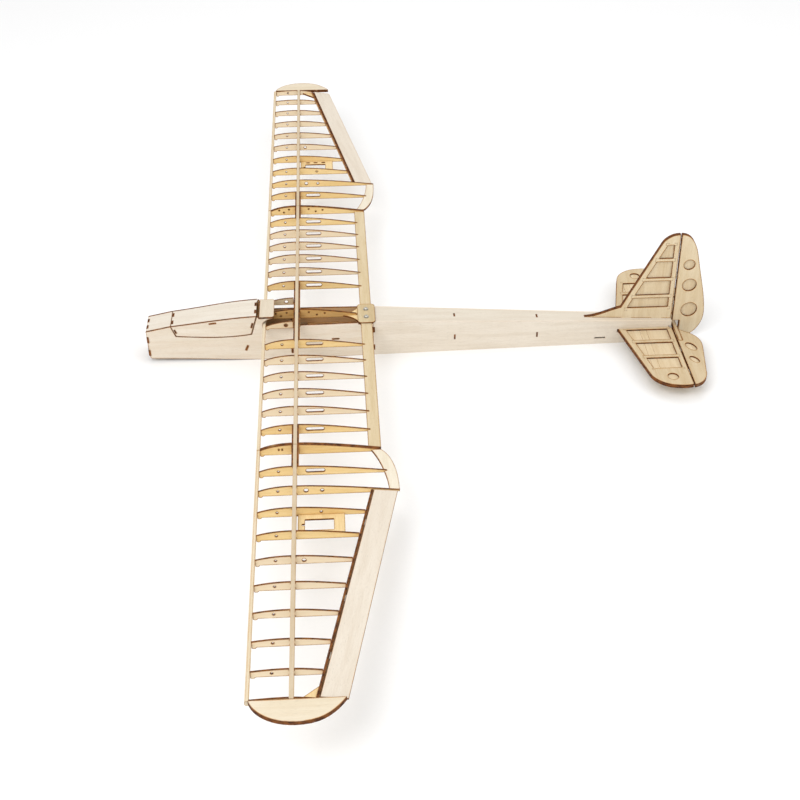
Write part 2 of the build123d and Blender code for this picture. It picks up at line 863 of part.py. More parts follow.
# ---------------------------------------------------------------- wing tips, trays, gussets
with BuildPart() as wing_tips:
    with BuildSketch(outer_plan(9.8)):
        with BuildLine():
            Line((108.0, PANEL + 1.1), (4.0, PANEL + 1.1))
            Spline(
                (4.0, PANEL + 1.1),
                (8.0, PANEL + 9.5),
                (20.0, PANEL + 21.5),
                (38.0, PANEL + 29.5),
                (58.0, PANEL + 31.5),
                (80.0, PANEL + 27),
                (98.0, PANEL + 14),
                (108.0, PANEL + 1.1),
            )
        make_face()
    extrude(amount=5.5)
    mirror(about=Plane.XZ)
save(wing_tips, "wing_tips")

TRAY_S = (OUTER_RIBS[2] + RIB / 2 + FIT, OUTER_RIBS[3] - RIB / 2 - FIT)
with BuildPart() as aileron_servo_trays:
    with BuildSketch(outer_plan(2.5)):
        with Locations((83.0, (TRAY_S[0] + TRAY_S[1]) / 2)):
            Rectangle(58.6, TRAY_S[1] - TRAY_S[0])
        with Locations((80.5, (TRAY_S[0] + TRAY_S[1]) / 2 - 1.0)):
            Rectangle(36.0, 20.0, mode=Mode.SUBTRACT)
        with Locations((61.0, (TRAY_S[0] + TRAY_S[1]) / 2 - 1.0)):
            Rectangle(4.0, 3.0, mode=Mode.SUBTRACT)
        with Locations(*[(x, TRAY_S[1] - 5.6) for x in (67.0, 81.0, 95.0)]):
            SlotOverall(6.5, 3.0, mode=Mode.SUBTRACT)
    extrude(amount=PLY)
    mirror(about=Plane.XZ)
save(aileron_servo_trays, "aileron_servo_trays")

with BuildPart() as wing_gussets:
    with BuildSketch(Plane(origin=(LE_X, 0, WING_Z + 0.4), x_dir=(1, 0, 0), z_dir=(0, 0, 1))):
        with BuildLine():
            Line((TE_X - FIT, 1.6), (TE_X - FIT, 27.0))
            ThreePointArc((TE_X - FIT, 27.0), (138.5, 12.5), (120.5, 1.6))
            Line((120.5, 1.6), (TE_X - FIT, 1.6))
        make_face()
    extrude(amount=2.4)
    with BuildSketch(outer_plan(7.0)):
        with BuildLine():
            Polyline((79.0, 417.0), (75.3, 434.9), (57.5, 434.9), close=True)
        make_face()
    extrude(amount=3.0)
    mirror(about=Plane.XZ)
save(wing_gussets, "wing_gussets")

# ---------------------------------------------------------------- wing hold-down
with BuildPart() as trailing_edge_plate:
    with BuildSketch(Plane.XY.offset(WING_Z + 3.05)):
        with Locations((-96.2, 0)):
            RectangleRounded(27.0, 51.0, 6.0)
        with Locations((SCREW_X, -SCREW_Y), (SCREW_X, SCREW_Y)):
            Circle(1.7, mode=Mode.SUBTRACT)
    extrude(amount=1.5)
save(trailing_edge_plate, "trailing_edge_plate")

with BuildPart() as wing_washers:
    with Locations((SCREW_X, -SCREW_Y, 63.35), (SCREW_X, SCREW_Y, 63.35)):
        Cylinder(4.0, 0.5)
        Cylinder(1.6, 2, mode=Mode.SUBTRACT)
save(wing_washers, "wing_washers")

with BuildPart() as wing_screws:
    for side in (-1, 1):
        with Locations((SCREW_X, side * SCREW_Y, 54.8)):
            Cylinder(1.25, 18.0)
        with Locations((SCREW_X, side * SCREW_Y, 64.75)):
            Cylinder(2.9, 2.2)
    fillet(wing_screws.edges().group_by(Axis.Z)[-1], 1.1)
    for side in (-1, 1):
        with Locations((SCREW_X, side * SCREW_Y, 65.5)):
            Box(3.4, 0.8, 1.6, mode=Mode.SUBTRACT)
            Box(0.8, 3.4, 1.6, mode=Mode.SUBTRACT)
save(wing_screws, "wing_screws")

# ---------------------------------------------------------------- stabiliser
def stab_le(y):
    return 294.9 + 0.213 * y


def stab_outline():
    """One half, from the centreline out to the tip and back along the hinge line."""
    with BuildLine() as edge:
        Line((stab_le(0), 0), (stab_le(123), 123))
        Spline(
            (stab_le(123), 123),
            (326.0, 139.0),
            (336.0, 151.0),
            (350.0, 158.5),
            (366.0, 161.0),
            (381.5, 159.5),
            tangents=((0.213, 1), (1, -0.25)),
        )
        Polyline((381.5, 159.5), (381.5, 0), (stab_le(0), 0))
    make_face(edge.edges())


STAB_BAYS = ((16.0, 44.0), (51.5, 84.0), (91.0, 117.5))
SEAM = 0.4  # width and depth of the lines where strips butt together


# Cross strips: the root strip, two battens and the start of the tip piece
STAB_STRIPS = ((13.5, 16.0), (44.0, 51.5), (84.0, 91.0), (117.5, 121.5))


def seam(x0, y0, x1, y1):
    """Thin line between two points of the current sketch."""
    with BuildLine() as edge:
        Line((x0, y0), (x1, y1))
    trace(edge.line, SEAM)

with BuildPart() as stabiliser_core:
    with BuildSketch(Plane.XY.offset(STAB_Z - LAYER / 2)):
        stab_outline()
    extrude(amount=LAYER)
    mirror(about=Plane.XZ)
    for plane in elevator_hinge_planes():
        hinge_pocket(plane, -1)
    with Locations((TAIL_X + 1, 0, STAB_Z)):
        Box(8, 26, 20, mode=Mode.SUBTRACT)
    # the sheet is joined from three planks
    for x in (330.5, 341.0):
        for z in (STAB_Z - LAYER / 2, STAB_Z + LAYER / 2):
            with Locations((x, 0, z)):
                Box(SEAM, 240, 2 * SEAM, mode=Mode.SUBTRACT)
save(stabiliser_core, "stabiliser_core")

with BuildPart() as stabiliser_frames:
    for z in (STAB_Z - 1.5 * LAYER, STAB_Z + 0.5 * LAYER + FIT):
        with BuildSketch(Plane.XY.offset(z)):
            stab_outline()
            for y0, y1 in STAB_BAYS:
                with BuildLine():
                    Polyline(
                        (stab_le(y0) + 11, y0),
                        (373.5, y0),
                        (373.5, y1),
                        (stab_le(y1) + 11, y1),
                        close=True,
                    )
                make_face(mode=Mode.SUBTRACT)
            with Locations((355.0, 139.0)):
                Circle(7.8, mode=Mode.SUBTRACT)
        extrude(amount=LAYER - FIT)
    # ends of the cross strips, let into the long strips
    for z in (STAB_Z - 1.5 * LAYER, STAB_Z + 1.5 * LAYER - SEAM):
        with BuildSketch(Plane.XY.offset(z)) as seams:
            for y0, y1 in STAB_STRIPS:
                front = stab_le((y0 + y1) / 2) + 7.5
                seam(front, y0, front, y1)
                seam(377.0, y0, 377.0, y1)
                for y in (y0, y1):
                    seam(front, y, stab_le(y) + 11.5, y)
                    seam(373.0, y, 377.0, y)
        extrude(seams.sketch, amount=SEAM, mode=Mode.SUBTRACT)
    mirror(about=Plane.XZ)
    for plane in elevator_hinge_planes():
        hinge_pocket(plane, -1)
    with Locations((TAIL_X + 1, 0, STAB_Z)):
        Box(8, 26, 20, mode=Mode.SUBTRACT)
save(stabiliser_frames, "stabiliser_frames")

# ---------------------------------------------------------------- elevator
def elevator_outline():
    with BuildLine() as edge:
        Polyline((383.5, 160.0), (383.5, 13.0), (405.0, 28.5))
        Spline((405.0, 28.5), (414.0, 39.0), (418.0, 49.0), (418.5, 62.0), (415.5, 82.5))
        Polyline((415.5, 82.5), (408.0, 128.0))
        Spline((408.0, 128.0), (403.0, 145.0), (394.0, 155.5), (383.5, 160.0))
    make_face(edge.edges())


ELEVATOR_HOLES = ((400.0, 65.0, 10.8, 6.3, 28.0), (397.2, 98.5, 9.1, 5.0, 31.0))


def joiner_pocket():
    with Locations((388.0, 0, STAB_Z)):
        Box(6.2, 96.1, 3 * LAYER + 2, mode=Mode.SUBTRACT)


with BuildPart() as elevator_core:
    with BuildSketch(Plane.XY.offset(STAB_Z - LAYER / 2)):
        elevator_outline()
    extrude(amount=LAYER)
    mirror(about=Plane.XZ)
    joiner_pocket()
    for plane in elevator_hinge_planes():
        hinge_pocket(plane, 1)
save(elevator_core, "elevator_core")

with BuildPart() as elevator_frames:
    for z in (STAB_Z - 1.5 * LAYER, STAB_Z + 0.5 * LAYER + FIT):
        with BuildSketch(Plane.XY.offset(z)):
            elevator_outline()
            for x, y, a, b, turn in ELEVATOR_HOLES:
                with Locations(Location((x, y, 0), (0, 0, 90 - turn))):
                    Ellipse(a, b, mode=Mode.SUBTRACT)
        extrude(amount=LAYER - FIT)
    mirror(about=Plane.XZ)
    joiner_pocket()
    for plane in elevator_hinge_planes():
        hinge_pocket(plane, 1)
save(elevator_frames, "elevator_frames")

# Hardwood strip that ties the two halves together behind the fuselage
with BuildPart() as elevator_joiner:
    with Locations((388.0, 0, STAB_Z)):
        Box(6.0, 96.0, 3 * LAYER)
    fillet(elevator_joiner.edges().filter_by(Axis.Z), 0.5)
save(elevator_joiner, "elevator_joiner")

with BuildPart() as elevator_leaves:
    for plane in elevator_hinge_planes():
        moving_leaf(plane)
save(elevator_leaves, "elevator_leaves")

# ---------------------------------------------------------------- fin
def fin_foot(x):
    return boom_top(x) + FIT


def fin_outline():
    with BuildLine() as edge:
        Spline((244.0, fin_foot(244) + 0.5), (268.0, 49.0), (286.6, 56.0), (299.6, 60.3))
        Line((299.6, 60.3), (350.0, 171.0))
        Spline(
            (350.0, 171.0),
            (356.0, 179.5),
            (365.0, 185.3),
            (rudder_x(187) - 1, 187.4),
            tangents=((0.415, 0.91), (1, 0.05)),
        )
        Polyline(
            (rudder_x(187) - 1, 187.4),
            (TAIL_X, fin_foot(TAIL_X)),
            (244.0, fin_foot(244)),
            (244.0, fin_foot(244) + 0.5),
        )
    make_face(edge.edges())


def fin_le(z):
    return 299.6 + (z - 60.3) * 50.4 / 110.7


FIN_BAYS = ((59.0, 76.0), (81.8, 106.4), (112.2, 140.7), (146.5, 169.5))
FIN_STRIPS = ((54.5, 59.0), (76.0, 81.8), (106.4, 112.2), (140.7, 146.5), (169.5, 173.0))

with BuildPart() as fin_core:
    with BuildSketch(Plane.XZ):
        fin_outline()
    extrude(amount=LAYER / 2, both=True)
    for x in (310.0, 358.0):
        with Locations((x, 0, boom_top(x) - 1.2)):
            Box(16, LAYER, 4.0)
    for plane in rudder_hinge_planes():
        hinge_pocket(plane, -1)
save(fin_core, "fin_core")

with BuildPart() as fin_frames:
    with BuildSketch(Plane.XZ.offset(LAYER / 2 + FIT)):
        fin_outline()
        for z0, z1 in FIN_BAYS:
            with BuildLine():
                Polyline(
                    (max(fin_le(z0), fin_le(60.3)) + 10, z0),
                    (rudder_x(z0) - 9, z0),
                    (rudder_x(z1) - 9, z1),
                    (fin_le(z1) + 10, z1),
                    close=True,
                )
            make_face(mode=Mode.SUBTRACT)
    extrude(amount=LAYER - FIT)
    # feet of the frames in the slots of the boom's top sheet
    for x in (310.0, 358.0):
        with Locations((x, -LAYER - FIT / 2, boom_top(x) - 1.2)):
            Box(16, LAYER - FIT, 4.0)
    # ends of the cross strips, let into the long strips
    with BuildSketch(Plane.XZ.offset(1.5 * LAYER - SEAM)) as seams:
        for z0, z1 in FIN_STRIPS:
            front = fin_le(max((z0 + z1) / 2, 60.3)) + 6.0
            back = rudder_x(z0) - 5.5
            seam(front, z0, front, z1)
            seam(back, z0, back, z1)
            for z in (z0, z1):
                seam(front, z, fin_le(max(z, 60.3)) + 10.5, z)
                seam(rudder_x(z) - 9.5, z, back, z)
    extrude(seams.sketch, amount=SEAM + 0.1, mode=Mode.SUBTRACT)
    mirror(about=Plane.XZ)
    for plane in rudder_hinge_planes():
        hinge_pocket(plane, -1)
save(fin_frames, "fin_frames")

# ---------------------------------------------------------------- rudder
def rudder_outline():
    with BuildLine() as edge:
        Polyline((rudder_x(187) + 1, 187.2), (rudder_x(4) + 1, 4.0), (402.0, 4.0))
        Spline(
            (402.0, 4.0),
            (417.0, 8.5),
            (425.0, 18.0),
            (430.3, 30.0),
            (432.0, 44.0),
            (430.6, 59.0),
            (422.6, 96.2),
            (411.6, 138.0),
            (401.5, 170.0),
            (391.5, 183.0),
            (rudder_x(187) + 1, 187.2),
        )
    make_face(edge.edges())


RUDDER_HOLES = ((397.0, 134.0, 8.4), (402.0, 97.5, 10.6), (407.5, 52.5, 12.2))


def joiner_notch():
    """Room for the elevator joiner at every rudder angle."""
    with Locations((RUDDER_X0 + 3.0, 0, STAB_Z)):
        Box(17.0, 20, 19.0, mode=Mode.SUBTRACT)


with BuildPart() as rudder_core:
    with BuildSketch(Plane.XZ):
        rudder_outline()
    extrude(amount=LAYER / 2, both=True)
    joiner_notch()
    for plane in rudder_hinge_planes():
        hinge_pocket(plane, 1)
save(rudder_core, "rudder_core")

with BuildPart() as rudder_frames:
    with BuildSketch(Plane.XZ.offset(LAYER / 2 + FIT)):
        rudder_outline()
        for x, z, r in RUDDER_HOLES:
            with Locations((x, z)):
                Circle(r, mode=Mode.SUBTRACT)
    extrude(amount=LAYER - FIT)
    mirror(about=Plane.XZ)
    joiner_notch()
    for plane in rudder_hinge_planes():
        hinge_pocket(plane, 1)
save(rudder_frames, "rudder_frames")

with BuildPart() as rudder_leaves:
    for plane in rudder_hinge_planes():
        moving_leaf(plane)
save(rudder_leaves, "rudder_leaves")

# ---------------------------------------------------------------- hatch
GAP = 0.9  # saw line around the hatch
# Tabs of the end frames: centre x, centre z, thickness, length, lean in degrees
HATCH_TABS = ((-387.4, 55.0, 2.3, 7.0, -20.6), (-270.6, 63.5, 2.35, 9.0, 16.3))


# Tabs of the end frames in the top sheet, at its very ends
HATCH_END_TABS = (-391.9, -265.1)
HATCH_TOP = (
    (HATCH_X1 - 1.5, 79.2),
    (-311.0, 75.2),
    (-350.0, 69.8),
    (HATCH_X0 + GAP, HATCH_Z),
)


def hatch_profile():
    low = [(x, z + GAP) for x, z in HATCH_LOW]
    low[0] = (low[0][0] + GAP, low[0][1])
    low[-1] = (low[-1][0] - GAP, low[-1][1])
    with BuildLine() as edge:
        Spline(*low)
        Polyline(low[-1], HATCH_TOP[0])
        Spline(*HATCH_TOP)
        Line(HATCH_TOP[-1], low[0])
    make_face(edge.edges())


with BuildPart() as hatch_sides:
    with BuildSketch(Plane.XZ):
        hatch_profile()
    extrude(amount=60, both=True)
    clip(0.0)
    clip(SHEET, Mode.SUBTRACT)
    # slots of the formers' tabs and of the middle brace
    for x, z, lx, lz, lean in HATCH_TABS:
        with Locations(Location((x, 0, z), (0, lean, 0))):
            Box(lx + 0.1, 80, lz + 0.1, mode=Mode.SUBTRACT)
    with Locations(Location((-330.0, 0, 68.6), (0, -8, 0))):
        Box(11.1, 80, 2.1, mode=Mode.SUBTRACT)
save(hatch_sides, "hatch_sides")

with BuildPart() as hatch_top:
    with BuildSketch(Plane.XZ):
        with BuildLine():
            Spline(*HATCH_TOP)
            Line(HATCH_TOP[-1], (HATCH_X0 + GAP + 1.0, HATCH_Z - SHEET))
            Spline(
                (HATCH_X0 + GAP + 1.0, HATCH_Z - SHEET),
                (-350.0, 69.8 - SHEET),
                (-311.0, 75.2 - SHEET),
                (HATCH_X1 - 2.4, 79.2 - SHEET),
            )
            Line((HATCH_X1 - 2.4, 79.2 - SHEET), HATCH_TOP[0])
        make_face()
    extrude(amount=60, both=True)
    clip(SHEET + FIT)
    for x in HATCH_END_TABS:
        top_tabs(x, 3.0, (-10.0, 10.0), 10.0, 0.1, Mode.SUBTRACT, z=72.0)
save(hatch_top, "hatch_top")

with BuildPart() as hatch_formers:
    # slanted end frames, parallel to the cuts in the sides
    for low_pt, high_pt, width in (
        ((-385.9, 47.6), (-391.1, 61.4), 2.6),
        ((-273.4, 49.4), (-265.6, 76.1), -2.6),
    ):
        strip_profile(
            (
                low_pt,
                high_pt,
                (high_pt[0] + width, high_pt[1]),
                (low_pt[0] + width, low_pt[1]),
            ),
            60,
            Plane.XZ,
            both=True,
        )
    with Locations(Location((-330.0, 0, 68.6), (0, -8, 0))):
        Box(11.0, 60, PLY)
    clip(SHEET + FIT)
    for x, z, lx, lz, lean in HATCH_TABS:
        with Locations(Location((x, 0, z), (0, lean, 0))):
            Box(lx, 80, lz)
    with Locations(Location((-330.0, 0, 68.6), (0, -8, 0))):
        Box(11.0, 80, PLY)
    clip(0.0)
    for x, z in zip(HATCH_END_TABS, (62.6, 77.2)):
        for y in (-10.0, 10.0):
            with Locations((x, y, z)):
                Box(3.0, 10.0, 3.0)
    for x, z in ((-390.0, 56.0), (-270.5, 62.0)):
        with Locations((x, 0, z - 4.0)):
            Box(14, 26, 12, mode=Mode.SUBTRACT)
save(hatch_formers, "hatch_formers")
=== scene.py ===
import math

import bpy
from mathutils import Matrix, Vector

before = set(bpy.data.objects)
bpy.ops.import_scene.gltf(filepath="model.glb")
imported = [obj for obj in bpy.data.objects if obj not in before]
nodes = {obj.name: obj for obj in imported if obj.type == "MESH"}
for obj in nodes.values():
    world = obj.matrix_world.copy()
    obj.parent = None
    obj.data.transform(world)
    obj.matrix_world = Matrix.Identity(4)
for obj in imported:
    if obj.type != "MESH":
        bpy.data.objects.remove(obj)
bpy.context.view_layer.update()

# ------------------------------------------------------------------ camera
# A short telephoto held well above the port side, looking down on the whole airframe.
AIM = Vector((-0.046, 0.0, -0.1092))
DISTANCE = 2.035
FOCAL_LENGTH = 56.3
SIDE_SHIFT = 0.0016
CAMERA_AZIMUTH, CAMERA_ELEVATION = math.radians(-3.31), math.radians(38.0)
back = Vector(
    (
        math.sin(CAMERA_AZIMUTH) * math.cos(CAMERA_ELEVATION),
        -math.cos(CAMERA_AZIMUTH) * math.cos(CAMERA_ELEVATION),
        math.sin(CAMERA_ELEVATION),
    )
)
camera = bpy.data.objects.new("camera", bpy.data.cameras.new("camera"))
bpy.context.scene.collection.objects.link(camera)
camera.data.sensor_width = 36
camera.data.lens = FOCAL_LENGTH
camera.data.shift_x = SIDE_SHIFT
camera.data.clip_end = 20
camera.location = AIM + back * DISTANCE
camera.rotation_mode = "QUATERNION"
camera.rotation_quaternion = (-back).to_track_quat("-Z", "Y")
bpy.context.scene.camera = camera


# ------------------------------------------------------------------ shader sums
class Value:
    """A shader socket that takes part in arithmetic: each operation adds one Math node."""

    def __init__(self, finish, socket):
        self.finish, self.socket = finish, socket

    def math(self, operation, *others):
        node = self.finish.node("ShaderNodeMath", {"operation": operation}, (self, *others))
        return Value(self.finish, node.outputs[0])

    def __add__(self, other):
        return self.math("ADD", other)

    __radd__ = __add__

    def __mul__(self, other):
        return self.math("MULTIPLY", other)

    __rmul__ = __mul__

    def __abs__(self):
        return self.math("ABSOLUTE")

    def over(self, low, high):
        """0 below low, 1 above high, smooth between; reversed when low is the larger."""
        node = self.finish.node(
            "ShaderNodeMapRange",
            {"interpolation_type": "SMOOTHSTEP"},
            (self, min(low, high), max(low, high), *((0.0, 1.0) if low < high else (1.0, 0.0))),
        )
        return Value(self.finish, node.outputs[0])


class Finish:
    """A material under construction, with one method that adds any node."""

    def __init__(self, name):
        self.material = bpy.data.materials.new(name)
        self.material.use_nodes = True
        self.tree = self.material.node_tree
        self.shader = self.tree.nodes["Principled BSDF"]

    def node(self, kind, settings=None, inputs=()):
        """Adds a node, sets it up, then fills its sockets, given in order or by name."""
        made = self.tree.nodes.new(kind)
        for key, value in (settings or {}).items():
            setattr(made, key, value)
        pairs = inputs.items() if isinstance(inputs, dict) else enumerate(inputs)
        for key, value in pairs:
            if value is not None:
                self.feed(made.inputs[key], value)
        return made

    def feed(self, socket, value):
        source = value.socket if isinstance(value, Value) else value
        if isinstance(source, bpy.types.NodeSocket):
            self.tree.links.new(source, socket)
        else:
            socket.default_value = source

    def place(self):
        """Object coordinates, in metres in the row frame."""
        return self.node("ShaderNodeTexCoord").outputs["Object"]

    def stretched(self, scale, turn=(0.0, 0.0, 0.0), shift=(0.0, 0.0, 0.0)):
        """Object coordinates turned and stretched, so that a pattern runs along one direction."""
        turned = self.node(
            "ShaderNodeMapping", {}, {"Vector": self.place(), "Rotation": turn, "Location": shift}
        )
        made = self.node(
            "ShaderNodeVectorMath", {"operation": "MULTIPLY"}, (turned.outputs[0], scale)
        )
        return made.outputs[0]

    def noise(self, vector, scale, detail=3.0, roughness=0.55):
        made = self.node(
            "ShaderNodeTexNoise",
            {},
            {"Vector": vector, "Scale": scale, "Detail": detail, "Roughness": roughness},
        )
        return Value(self, made.outputs[0])

    def split(self, vector):
        made = self.node("ShaderNodeSeparateXYZ", {}, (vector,))
        return [Value(self, out) for out in made.outputs]

    def blend(self, share, a, b):
        """Colour a turned towards colour b by the share."""
        made = self.node("ShaderNodeMix", {"data_type": "RGBA"}, {0: share, 6: a, 7: b})
        return made.outputs[2]

    def bump(self, height, strength, distance):
        made = self.node(
            "ShaderNodeBump", {}, {"Height": height, "Strength": strength, "Distance": distance}
        )
        self.feed(self.shader.inputs["Normal"], made.outputs[0])


def rgb(r, g, b):
    """A colour given as it looks on screen, 0 to 255, made linear."""
    def lin(c):
        c = c / 255
        return c / 12.92 if c <= 0.04045 else ((c + 0.055) / 1.055) ** 2.4

    return (lin(r), lin(g), lin(b), 1.0)


# ------------------------------------------------------------------ laser-cut wood
# Balsa and ply sheet as it leaves the laser: pale faces with fine long grain, edges burnt
# brown by the beam, and a narrow scorched halo where the faces meet a cut.
BURNT_DARK = rgb(62, 30, 12)
BURNT_WARM = rgb(128, 76, 32)
SCORCH = rgb(206, 150, 76)
RIM = rgb(112, 66, 28)
EVEN = (1.0, 1.0, 1.0)  # no stretch
BAND_SCALE, FIBRE_SCALE, PORE_SCALE, BLOTCH_SCALE = 9.0, 62.0, 190.0, 6.5
SCORCH_PATCH_SCALE, CHAR_SCALE = 55.0, 140.0


def wood(
    name, pale, streak, along, face=None, lean=0.0, burnt=1.0, halo=0.9, rim=0.8, reach=0.0026,
    seed=0.0, flecks=1.0, gloss=0.62, clean=None, tint=None,
):
    """Wood with grain along axis `along`. `face` is the axis across the sheet: surfaces that
    face another way are cut edges, burnt unless they face the axis `clean`. `lean` turns the
    grain about Z, in degrees; `tint` changes the colour before the scorch goes on."""
    finish = Finish(name)
    long_scale = {"X": (1.0, 14.0, 14.0), "Y": (14.0, 1.0, 14.0), "Z": (14.0, 14.0, 1.0)}[along]
    turn = (0.0, 0.0, math.radians(lean))
    grain_place = finish.stretched(long_scale, turn, (seed, seed * 0.7, seed * 0.3))
    bands = finish.noise(grain_place, BAND_SCALE, 2.0, 0.5)
    fibres = finish.noise(grain_place, FIBRE_SCALE, 3.0, 0.65)
    pores = finish.noise(grain_place, PORE_SCALE, 1.0, 0.4)
    blotch_place = finish.stretched(EVEN, turn, (seed, 0.0, seed))
    blotch = finish.noise(blotch_place, BLOTCH_SCALE, 2.0)

    tone = bands.over(0.34, 0.70) * 0.55 + fibres.over(0.35, 0.75) * 0.45
    colour = finish.blend(tone, pale, streak)
    colour = finish.blend(blotch.over(0.40, 0.72) * 0.30, colour, streak)
    dark_fleck = tuple(c * 0.62 for c in streak[:3]) + (1.0,)
    colour = finish.blend(pores.over(0.60, 0.74) * (0.34 * flecks), colour, dark_fleck)
    if tint:
        colour = tint(finish, colour)

    # scorch: the rounded normal leaves the true one near every cut, most at the rim itself
    geometry = finish.node("ShaderNodeNewGeometry")
    rounded = finish.node("ShaderNodeBevel", {"samples": 8}, {"Radius": reach})
    near = finish.node(
        "ShaderNodeVectorMath",
        {"operation": "DOT_PRODUCT"},
        (rounded.outputs[0], geometry.outputs["Normal"]),
    )
    turned = Value(finish, near.outputs["Value"])
    patch_place = finish.stretched(EVEN, turn, (seed * 2, 1.0, 0.0))
    patchy = finish.noise(patch_place, SCORCH_PATCH_SCALE, 2.0)
    colour = finish.blend(
        turned.over(0.9995, 0.955) * patchy.over(0.15, 0.60) * halo, colour, SCORCH
    )
    colour = finish.blend(turned.over(0.965, 0.84) * patchy.over(0.05, 0.45) * rim, colour, RIM)
    rough = fibres * 0.12 + gloss

    if face:
        normal = finish.split(finish.node("ShaderNodeTexCoord").outputs["Normal"])
        edge = abs(normal["XYZ".index(face)]).over(0.86, 0.60)
        if clean:
            edge = edge * abs(normal["XYZ".index(clean)]).over(0.86, 0.60)
        char_place = finish.stretched(EVEN, turn, (1.0, seed, 0.0))
        char = finish.noise(char_place, CHAR_SCALE, 3.0)
        char_colour = finish.blend(char.over(0.30, 0.68), BURNT_DARK, BURNT_WARM)
        char_colour = finish.blend(
            patchy.over(0.62, 0.78) * 0.45, char_colour, tuple(0.8 * c for c in streak[:3]) + (1.0,)
        )
        colour = finish.blend(edge * burnt, colour, char_colour)
        rough = rough + edge * 0.15

    finish.feed(finish.shader.inputs["Base Color"], colour)
    finish.feed(finish.shader.inputs["Roughness"], rough)
    finish.shader.inputs["Specular IOR Level"].default_value = 0.25
    finish.bump(fibres * 0.6 + pores * 0.4, 0.35, 0.0002)
    return finish


def dress(finish, *names):
    """Gives CAD nodes their finish."""
    for name in names:
        piece = nodes[name]
        piece.data.materials.clear()
        piece.data.materials.append(finish.material)


# ------------------------------------------------------------------ fuselage sides
# Balsa sheet, grain along the fuselage, in a front and a boom length on each side. The inner
# faces carry painted shade, a warm darker tan for the shadowed inside; the boom's long edges are
# sanded clean.
CREAM = rgb(230, 220, 205)
CREAM_STREAK = rgb(218, 202, 180)


def painted_inner_shade(finish, colour):
    """Paints shade on the faces that look towards the centreline: a warm darker tan for the
    shadowed inside of the fuselage.
    """
    inward = (
        finish.split(finish.node("ShaderNodeTexCoord").outputs["Normal"])[1]
        * finish.split(finish.place())[1]
    ).over(-0.002, -0.006)
    # painted shade: the inward faces turn towards a warm darker tan
    return finish.blend(inward * 0.75, colour, rgb(206, 166, 110))


side_finish = wood("balsa_side", CREAM, CREAM_STREAK, "X", "Y", seed=1.3, halo=0.6, tint=painted_inner_shade)
dress(side_finish, "fuselage_side_port", "fuselage_side_starboard")
boom_finish = wood(
    "balsa_boom", CREAM, rgb(216, 203, 184), "X", "Y", seed=4.1, halo=0.12, rim=0.05,
    clean="Z", reach=0.0012, tint=painted_inner_shade,
)
dress(boom_finish, "boom_side_port", "boom_side_starboard")

# ------------------------------------------------------------------ top and bottom sheets
# The same balsa laid between the sides, grain along the fuselage.
TOP = rgb(224, 216, 203)
TOP_STREAK = rgb(214, 203, 187)
sheet_finish = wood(
    "balsa_top", rgb(219, 210, 195), rgb(208, 196, 178), "X", "Z", seed=2.2, halo=0.15,
    rim=0.1, clean="Y", reach=0.0012,
)
dress(sheet_finish, "bottom_sheet", "boom_top_sheet")
nose_finish = wood(
    "balsa_nose", TOP, TOP_STREAK, "X", "Z", seed=2.7, halo=0.35, rim=0.4, clean="Y"
)
dress(nose_finish, "nose_top_sheet")

# ------------------------------------------------------------------ wing seat cover
# A small balsa plate glued over the bulkhead ahead of the wing.
cover_finish = wood(
    "balsa_cover", rgb(216, 204, 184), rgb(205, 190, 167), "Y", "Z", seed=6.4, halo=0.35, rim=0.4
)
dress(cover_finish, "wing_front_plate")

# ------------------------------------------------------------------ hatch
# Lift-off battery hatch: curved balsa top, two sides and ply end frames.
hatch_top_finish = wood(
    "balsa_hatch_top", TOP, TOP_STREAK, "X", "Z", seed=7.7, halo=0.2, rim=0.2, clean="Y",
    reach=0.0014,
)
dress(hatch_top_finish, "hatch_top")
# the hatch sides' inner faces get the same painted shade as the fuselage sides
dress(
    wood(
        "balsa_hatch_side", CREAM, CREAM_STREAK, "X", "Y", seed=8.2, halo=0.5, rim=0.9,
        tint=painted_inner_shade,
    ),
    "hatch_sides",
)

# ------------------------------------------------------------------ ply formers
# Crosswise frames inside the fuselage; their tabs show as burnt dashes in the sheets.
PLY_FACE = rgb(206, 170, 118)
PLY_STREAK = rgb(184, 142, 90)
former_finish = wood("ply_former", PLY_FACE, PLY_STREAK, "Z", "X", seed=3.3, flecks=0.6)
dress(
    former_finish,
    "nose_former", "hatch_front_former", "hatch_rear_former", "hatch_formers",
    "spar_former", "wing_rear_former", "boom_formers", "tail_post",
)

# ------------------------------------------------------------------ servo tray and screw block
# Level ply tray for the tail servos and the hardwood block that takes the wing screws.
tray_finish = wood("ply_tray", PLY_FACE, PLY_STREAK, "X", "Z", seed=5.5, flecks=0.6)
dress(tray_finish, "servo_tray")
dress(wood("hard_block", rgb(214, 176, 120), rgb(190, 146, 92), "Y", seed=9.1), "wing_bolt_block")

# ------------------------------------------------------------------ wing ribs
# Cambered ribs: golden ply where loads come in, pale balsa between and towards the tips.
RIB_GOLD = rgb(240, 213, 158)
RIB_GOLD_STREAK = rgb(226, 190, 124)
RIB_PALE = rgb(232, 218, 196)
TONE_BLUR = 0.004  # span over which the tone changes, in metres


def paler_between(*stations):
    """Pale wood for the ribs between pairs of span stations, in metres."""

    def tint(finish, colour):
        span = abs(finish.split(finish.place())[1])
        for start, end in stations:
            begun = span.over(start - TONE_BLUR, start + TONE_BLUR)
            inside = begun * span.over(end + TONE_BLUR, end - TONE_BLUR)
            colour = finish.blend(inside * 0.72, colour, RIB_PALE)
        return colour

    return tint


